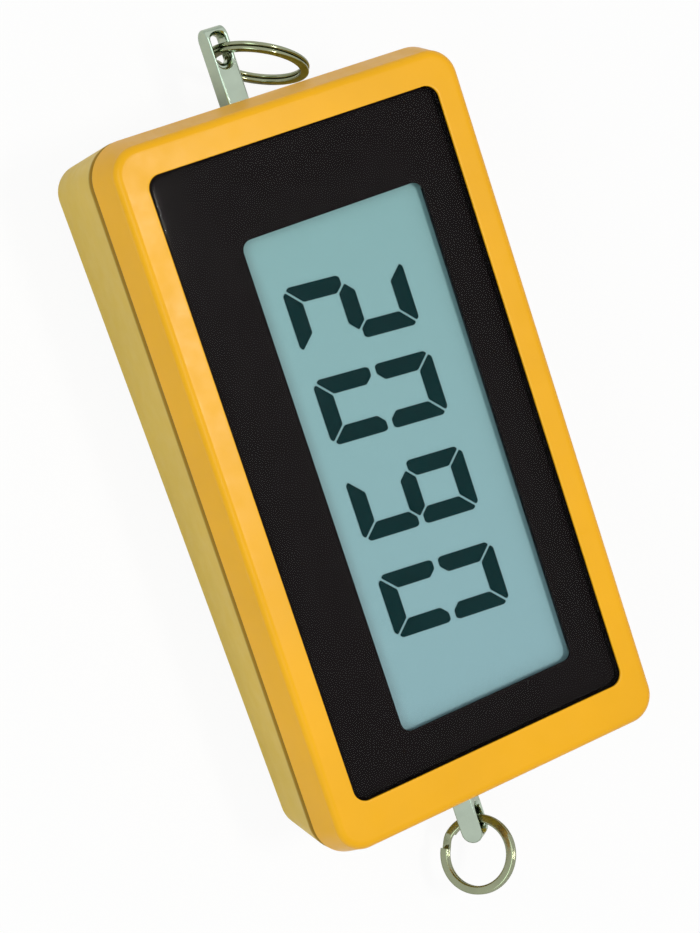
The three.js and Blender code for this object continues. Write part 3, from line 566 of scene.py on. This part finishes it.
# Rear shell, its posts, wells, battery cup and holes
REAR_RIM = 0.6
BEYOND = 52
POST_X, POST_Y, POST_R, POST_UP = 21.2, 45.2, 4.2, 1
POST_SIDES = ((-1, 1), (1, 1), (-1, -1), (1, -1))
WELL_R, WELL_SEAT, WELL_START = 2.9, 5.5, -60
SCREW_R, SCREW_START = 1.7, 7
BATTERY = (13.0, -30.0)
CUP_R, CUP_LOW, CUP_HIGH = 10.32, 1, 7.3
COVER_R, COVER_DEEP = 10.5, 1.4
PLUG_R, PLUG_DEEP = 8.42, 9
GROOVE_R, GROOVE_LOW, GROOVE_HIGH = 9.52, 2.6, 4
NOTCH_R, NOTCH_LOW, NOTCH_HIGH, NOTCH_STEPS = 8.1, 1.1, 2.9, 10
LUGS, LUG_ARC, COVER_TURN, LUG_PLAY = 3, math.radians(26), math.radians(35), 0.03
BUSH_R, BUSH_FLANGE_R, BUSH_FLANGE = 2.1, 2.5, 0.5
BUSH_INNER = 47.75
BOARD_TOP, BOARD_T, SWITCH_H = 7.9, 1.2, 3.4
BUTTON_Z = -(BOARD_TOP + BOARD_T + BOND + SWITCH_H / 2)
BUTTON_Y = (8.5, -8.5)
BUTTON_HOLE_L, BUTTON_HOLE_W, BUTTON_X0, BUTTON_X1 = 9.6, 4.8, 24, 28.5
UNDER, OVER = 0.01, 1


def rear_ring(inset, height):
    """A ring at a height above the rear face, which slopes against the case's frame."""
    return case_ring(inset, lambda y: height - depth_at(y))


def rear_edge(a):
    return rear_ring(REAR_DRAFT + REAR_EDGE * (1 - math.sin(a)), REAR_EDGE * (1 - math.cos(a)))


def rear_blank():
    shell = loft("case_rear", [
        rear_ring(REAR_DRAFT + REAR_EDGE + EDGE_LOOP, 0),
        *arc(12, rear_edge),
        *rounded_rings(6, 0, REAR_RIM, REAR_SEAM),
        case_ring(WALL - LIP_T, REAR_SEAM),
        case_ring(WALL - LIP_T, LIP_TOP),
    ], angle=SHELL_ANGLE)
    hollow = loft("hollow", [
        rear_ring(WALL + REAR_DRAFT, WALL),
        case_ring(WALL, REAR_SEAM),
        case_ring(WALL, LIP_TOP + OVER),
    ])
    return boolean(shell, [hollow])


def inner_room():
    """The space that posts and cup may fill, up to the middle of the walls."""
    return loft("room", [
        rear_ring(WALL / 2 + REAR_DRAFT, WALL / 2),
        case_ring(WALL / 2, REAR_SEAM - UNDER),
    ])


def rear_bosses():
    bosses = []
    for sx, sy in POST_SIDES:
        foot = POST_UP - depth_at(sy * (POST_Y + POST_R))
        bosses.append(cylinder("post", POST_R, sx * POST_X, sy * POST_Y, foot, REAR_SEAM))
    bosses.append(cylinder("cup", CUP_R, *BATTERY, CUP_LOW, CUP_HIGH, REAR_ROW, FINE_SIDES))
    return bosses


def screw_cutters():
    cutters = []
    for sx, sy in POST_SIDES:
        place = (sx * POST_X, sy * POST_Y)
        cutters.append(cylinder("well", WELL_R, *place, WELL_START, REAR_SEAM - WELL_SEAT))
        cutters.append(cylinder("hole", SCREW_R, *place, REAR_SEAM - SCREW_START, REAR_SEAM + OVER))
    return cutters


def bush_cutters():
    return [
        pull_cylinder("eye_hole", BUSH_R + FIT / 2, -BEYOND, -BUSH_INNER),
        pull_cylinder("eye_hole", BUSH_R + FIT / 2, BUSH_INNER, BEYOND),
        pull_cylinder("bush_seat", BUSH_FLANGE_R + FIT / 2, -BEYOND, BUSH_FLANGE - LOWER_END),
        pull_cylinder("bush_seat", BUSH_FLANGE_R + FIT / 2, UPPER_END - BUSH_FLANGE, BEYOND),
    ]


def button_cutter(y):
    r = BUTTON_HOLE_W / 2 - STRAIGHT
    flat = rounded_ring(BUTTON_HOLE_W, BUTTON_HOLE_L, r, 0, 10)
    rings = [[(x, v + y, BUTTON_Z - u) for u, v, _ in flat] for x in (BUTTON_X0, BUTTON_X1)]
    return loft("button_hole", rings)


def notch_cutter(k):
    """The way in for one lug of the battery cover."""
    start = 2 * math.pi * k / LUGS - COVER_TURN - LUG_PLAY
    arc_length = LUG_ARC + 2 * LUG_PLAY
    turns = [start + arc_length * i / NOTCH_STEPS for i in range(NOTCH_STEPS + 1)]
    pts = [(GROOVE_R * math.cos(a), GROOVE_R * math.sin(a)) for a in turns]
    pts += [(NOTCH_R * math.cos(a), NOTCH_R * math.sin(a)) for a in reversed(turns)]
    x, y = BATTERY
    return loft("notch", [[(x + u, y + v, z) for u, v in pts] for z in (NOTCH_LOW, NOTCH_HIGH)], REAR_ROW)


def cover_cutters():
    return [
        cylinder("cover_seat", COVER_R, *BATTERY, -OVER, COVER_DEEP, REAR_ROW, FINE_SIDES),
        cylinder("cover_hole", PLUG_R, *BATTERY, -OVER, PLUG_DEEP, REAR_ROW, FINE_SIDES),
        cylinder("cover_groove", GROOVE_R, *BATTERY, GROOVE_LOW, GROOVE_HIGH, REAR_ROW, FINE_SIDES),
        *[notch_cutter(k) for k in range(LUGS)],
    ]


def rear_shell():
    shell = rear_blank()
    for boss in rear_bosses():
        boolean(boss, [inner_room()], "INTERSECT")
        boolean(shell, [boss], "UNION")
    buttons = [button_cutter(y) for y in BUTTON_Y]
    return boolean(shell, [*screw_cutters(), *bush_cutters(), *buttons, *cover_cutters()])


weighted(dress(front_shell(), None, "case", ["front_shell"]))
weighted(dress(rear_shell(), YELLOW_REAR, "case", ["rear_shell"]))

# Front panel: a polished edge round a flat plate, bonded to its mask
LENS_EDGE, LENS_LOOP, LENS_ANGLE = 0.03, 0.5, 20
LENS_TOP_BAND = 0.05


def lens_ring(inset, z):
    r = PANEL_CORNER - inset
    return rounded_ring(PANEL_W - 2 * inset, PANEL_L - 2 * inset, r, z, CASE_STEPS, 0, PANEL_Y)


def lens_edge(a):
    return lens_ring(LENS_EDGE * (1 - math.cos(a)), -LENS_SINK - LENS_EDGE + LENS_EDGE * math.sin(a))


def lens():
    plate = loft("panel_lens", [
        lens_ring(0, -LENS_SINK - LENS_T),
        *arc(3, lens_edge),
        lens_ring(LENS_LOOP, -LENS_SINK),
    ], angle=LENS_ANGLE)
    two_materials(plate, LENS, LENS_BACK, lambda x, y, z: z < -LENS_SINK - LENS_TOP_BAND)
    return plate


weighted(dress(lens(), None, "case", ["display_lens"]))

# Display segments, in the order of reading: u runs along the case, v towards the top of the digits
SEG_W, SEG_H, SEG_T, SEG_GAP, SLANT = 9.25, 18.0, 2.37, 0.3, math.tan(math.radians(5))
SEG_CORNER, SEG_X, SEG_Z = 1.0, 1.2, -2.99
SEG_ROUND, SEG_THICK, SEG_ANGLE = 0.09, 0.04, 30
READING = "2090"
SHAPES = {"0": "abcdef", "2": "abged", "9": "abcdfg"}
STARTS = (25.46, 12.42, -1.555, -15.77)


def segment_outlines():
    w, h, t, c = SEG_W, SEG_H, SEG_T, SEG_CORNER
    q = SEG_GAP / math.sqrt(2)
    m = h / 2
    a = [((c + q) / 2, h - (c - q) / 2), (c, h), (w - c, h), (w - (c + q) / 2, h - (c - q) / 2),
         (w - t - q, h - t), (t + q, h - t)]
    f = [((c - q) / 2, h - (c + q) / 2), (0, h - c), (0, m + 3 * SEG_GAP), (SEG_GAP, m + 1.5 * SEG_GAP),
         (t - c, m + 1.5 * SEG_GAP), (t, m + 1.5 * SEG_GAP + c), (t, h - t - q)]
    tip = t / 2 + SEG_GAP / 2
    g = [(tip, m), (tip + t / 2, m + t / 2), (w - tip - t / 2, m + t / 2), (w - tip, m),
         (w - tip - t / 2, m - t / 2), (tip + t / 2, m - t / 2)]

    def mirror(points, across, down):
        return [(w - x if across else x, h - y if down else y) for x, y in points]
    return {"a": a, "g": g, "d": mirror(a, False, True), "b": mirror(f, True, False), "f": f,
            "c": mirror(f, True, True), "e": mirror(f, False, True)}


def segments():
    outlines = segment_outlines()
    bm = bmesh.new()
    for digit, start in zip(READING, STARTS):
        for name in SHAPES[digit]:
            pts = [(SEG_X - SEG_H / 2 + v, start - u - v * SLANT, SEG_Z) for u, v in outlines[name]]
            bm.faces.new([bm.verts.new(p) for p in pts])
    bmesh.ops.bevel(bm, geom=bm.verts[:], offset=SEG_ROUND, segments=3, affect="VERTICES")
    faces = bm.faces[:]
    out = bmesh.ops.extrude_face_region(bm, geom=faces)
    moved = [v for v in out["geom"] if isinstance(v, bmesh.types.BMVert)]
    bmesh.ops.translate(bm, verts=moved, vec=(0, 0, SEG_THICK))
    return to_object(bm, "display_segments", TO_ROW, SEG_ANGLE)


dress(segments(), SEGMENT, "case")

# Swivel eyes: a square bar with a round tip and a slot with flared mouths, on a round shank
EYE_BAR, EYE_REACH, EYE_EDGE = 3.3, 11.25, 0.3
EYE_HALF = EYE_BAR / 2
TIP_STEPS, EDGE_TURNS = 20, (0.52, 1.05, 1.57)
SLOT_L, SLOT_W, TIP = 4.0, 2.3, 1.15
SLOT_CENTRE = EYE_REACH - TIP - SLOT_L / 2
MOUTH_ACROSS, MOUTH_ALONG, MOUTH_STEPS = 0.45, 1.3, 12
SHANK_R, SHANK_IN, SHANK_BEVEL, SHANK_TIP = 1.5, 1, 0.3, 0.5
CELL_L, CELL_ARM, CELL_Y = 37, 7, 4
WASHER_T, NUT_H = 0.5, 2
UPPER_SWIVEL, LOWER_SWIVEL = 5, -45


def eye_bar(name):
    base = EYE_REACH - EYE_HALF
    side = [(-EYE_HALF, 0), (EYE_HALF, 0)]
    for k in range(TIP_STEPS + 1):
        a = k / TIP_STEPS * math.pi
        side.append((EYE_HALF * math.cos(a), base + EYE_HALF * math.sin(a)))
    levels = [(EYE_EDGE, -EYE_HALF)]
    for a in EDGE_TURNS:
        levels.append((EYE_EDGE * (1 - math.sin(a)), -EYE_HALF + EYE_EDGE * (1 - math.cos(a))))
    levels += [(inset, -x) for inset, x in reversed(levels)]
    rings = []
    for inset, x in levels:
        scale = (EYE_HALF - inset) / EYE_HALF
        rings.append([(x, y + inset if y <= 0 else base + (y - base) * scale, z * scale) for z, y in side])
    return loft(name, rings, None)


def flare(mouth, z):
    """How far a rounded mouth stands out from its slot at the height z."""
    return mouth - math.sqrt(max(0, mouth ** 2 - max(0, z - EYE_HALF + mouth) ** 2))


def slot_ring(z):
    height = min(abs(z), EYE_HALF)
    across, along = flare(MOUTH_ACROSS, height), flare(MOUTH_ALONG, height)
    r = SLOT_W / 2 + across - STRAIGHT
    return rounded_ring(SLOT_W + 2 * across, SLOT_L + 2 * along, r, z, y=SLOT_CENTRE)


def slot_cutter():
    heights = arc(MOUTH_STEPS, lambda a: EYE_HALF - MOUTH_ALONG * (1 - math.sin(a))) + [EYE_HALF + OVER]
    return loft("slot", [slot_ring(z) for z in [-z for z in reversed(heights)] + heights], None)


def shank(length):
    profile = [(0, -SHANK_IN), (SHANK_R, -SHANK_IN), (SHANK_R, length - SHANK_BEVEL),
               (SHANK_R - SHANK_BEVEL, length), (0, length)]
    return lathe("shank", profile, Matrix.Rotation(math.pi / 2, 4, "X"))


def eye(name, body, node, side, end, swivel):
    """One swivel eye. Returns the matrix that places it in the case's frame."""
    arm = CELL_L / 2 - CELL_ARM + side * CELL_Y
    nut = arm - 2 * FIT - WASHER_T - NUT_H
    shoulder = end + FIT
    obj = boolean(eye_bar(name), [slot_cutter()])
    boolean(obj, [shank(shoulder - nut + SHANK_TIP)], "UNION")
    place = Matrix.Translation((0, 0, -PULL)) @ Matrix.Rotation(0 if side > 0 else math.pi, 4, "Z")
    place = place @ Matrix.Translation((0, shoulder, 0)) @ Matrix.Rotation(math.radians(swivel), 4, "Y")
    obj.data.transform(TO_ROW @ place)
    weighted(dress(obj, CHROME, body, [node]))
    return place


UPPER = eye("upper_swivel_eye", "upper_swivel", "upper_eye", 1, UPPER_END, UPPER_SWIVEL)
LOWER = eye("lower_swivel_eye", "lower_swivel", "lower_eye", -1, LOWER_END, LOWER_SWIVEL)

# Split rings: two turns of flat wire with one step over
WIRE, COIL, COIL_GAP, WIRE_ROUND = 1.3, 0.6, 0.1, 0.25
RING_PLAY, RING_SEAT = 0.05, -0.1
RING_STEP, RING_OPEN = math.radians(24), math.radians(4)
RING_STEPS, WIRE_STEPS = 240, 5


def wire_corners():
    """Section of the wire, as (across, up) about its centre."""
    half_w, half_h = (WIRE - RING_PLAY) / 2 - WIRE_ROUND, COIL / 2 - WIRE_ROUND
    pts = []
    for quarter, (sx, sy) in enumerate(CORNERS):
        for k in range(WIRE_STEPS + 1):
            turn = (quarter + k / WIRE_STEPS) * math.pi / 2
            pts.append((sx * half_w + WIRE_ROUND * math.cos(turn), sy * half_h + WIRE_ROUND * math.sin(turn)))
    return pts


def split_ring(name, place, body, node, diameter, lean, yaw, swing, end):
    radius = (diameter - WIRE) / 2
    layer = (COIL + COIL_GAP) / 2
    total = 4 * math.pi - RING_STEP - RING_OPEN
    corners = wire_corners()
    rings = []
    for i in range(RING_STEPS + 1):
        along = total * i / RING_STEPS
        rise = min(1, max(0, (along - 2 * math.pi + RING_STEP) / RING_STEP))
        rise = rise * rise * (3 - 2 * rise)
        angle = math.radians(end) + along
        out = Vector((math.cos(angle), 0, math.sin(angle)))
        centre = out * radius + Vector((0, layer * (2 * rise - 1), 0))
        section = [centre + out * across + Vector((radius, up, 0)) for across, up in corners]
        rings.append([tuple(p) for p in section])
    hinge = Matrix.Translation((0, SLOT_CENTRE + RING_SEAT, 0))
    hinge = hinge @ Matrix.Rotation(math.radians(-lean), 4, "X") @ Matrix.Rotation(math.radians(yaw), 4, "Y")
    hinge = hinge @ Matrix.Rotation(math.radians(swing), 4, "Z")
    dress(loft(name, rings, TO_ROW @ place @ hinge), RING, body, [node])


split_ring("upper_split_ring", UPPER, "upper_ring", "upper_ring",
           diameter=14.5, lean=2, yaw=6, swing=-30, end=236)
split_ring("lower_split_ring", LOWER, "lower_ring", "lower_ring",
           diameter=11.7, lean=-2, yaw=-1, swing=65, end=250)

# Floor, just below the lowest point that the turning rings reach
FLOOR_Z, FLOOR_R = -0.0042, 3.0
FLOOR_TONE, FLOOR_GLOW = 0.88, 0.93


def camera_share(tree):
    camera_ray = add(tree, "ShaderNodeLightPath").outputs["Is Camera Ray"]
    return calculate(tree, "MULTIPLY", camera_ray, FLOOR_GLOW)


def white_floor():
    bm = bmesh.new()
    bmesh.ops.create_circle(bm, cap_ends=True, radius=FLOOR_R, segments=64)
    obj = to_object(bm, "floor", Matrix.Translation((0, 0, FLOOR_Z)))
    obj.data.materials.append(mixed_material(
        "floor_white", camera_share,
        ("ShaderNodeBsdfDiffuse", {"Color": (FLOOR_TONE, FLOOR_TONE, FLOOR_TONE, 1)}),
        ("ShaderNodeEmission", {"Color": (1, 1, 1, 1), "Strength": 1.0})))
    return obj


floor = white_floor()

# World: white where the camera, a gloss or a clear sheet sees it, and a soft fill for all else
FILL, SEEN = 0.45, 1.0


def studio():
    world = bpy.data.worlds.new("studio")
    bpy.context.scene.world = world
    world.use_nodes = True
    tree = world.node_tree
    rays = add(tree, "ShaderNodeLightPath").outputs
    seen = calculate(tree, "MAXIMUM", rays["Is Camera Ray"], rays["Is Glossy Ray"])
    seen = calculate(tree, "MAXIMUM", seen, rays["Is Transmission Ray"])
    back = tree.nodes["Background"]
    back.inputs["Color"].default_value = (1, 1, 1, 1)
    tree.links.new(spread(tree, seen, FILL, SEEN, 0, 1), back.inputs["Strength"])


studio()

# Lamps, aimed a little above the middle of the rear face
TARGET = Vector((0, 0, 0.01))


def lamp(name, place, size, power, color):
    light = bpy.data.lights.new(name, "AREA")
    light.shape = "RECTANGLE"
    light.size, light.size_y = size
    light.energy = power
    light.color = color
    obj = add_object(name, light)
    obj.location = place
    obj.rotation_mode = "QUATERNION"
    obj.rotation_quaternion = (TARGET - Vector(place)).to_track_quat("-Z", "Y")


lamp("key", (0.109, -0.054, 0.602), (0.14, 0.06), 1.3, (1, 0.96, 0.9))
lamp("side", (-0.42, 0.04, 0.45), (0.5, 0.2), 0.95, (0.8, 1, 0.95))

# Camera, fitted to the photograph
CAM_PLACE = (-0.11136887, 0.02657457, 0.29371947)
CAM_RIGHT = Vector((0.86662606, -0.33520979, 0.36958582))
CAM_UP = Vector((0.34688344, 0.93719268, 0.03663003))
CAM_LENS, CAM_SENSOR = 83.335, 36

camera = bpy.data.cameras.new("camera")
camera.sensor_width = CAM_SENSOR
camera.lens = CAM_LENS
camera.clip_start, camera.clip_end = 0.01, 10
cam = add_object("camera", camera)
turn = Matrix((CAM_RIGHT, CAM_UP, CAM_RIGHT.cross(CAM_UP))).transposed().to_4x4()
cam.matrix_world = Matrix.Translation(CAM_PLACE) @ turn
bpy.context.scene.camera = cam
bpy.context.scene.view_settings.view_transform = "Standard"
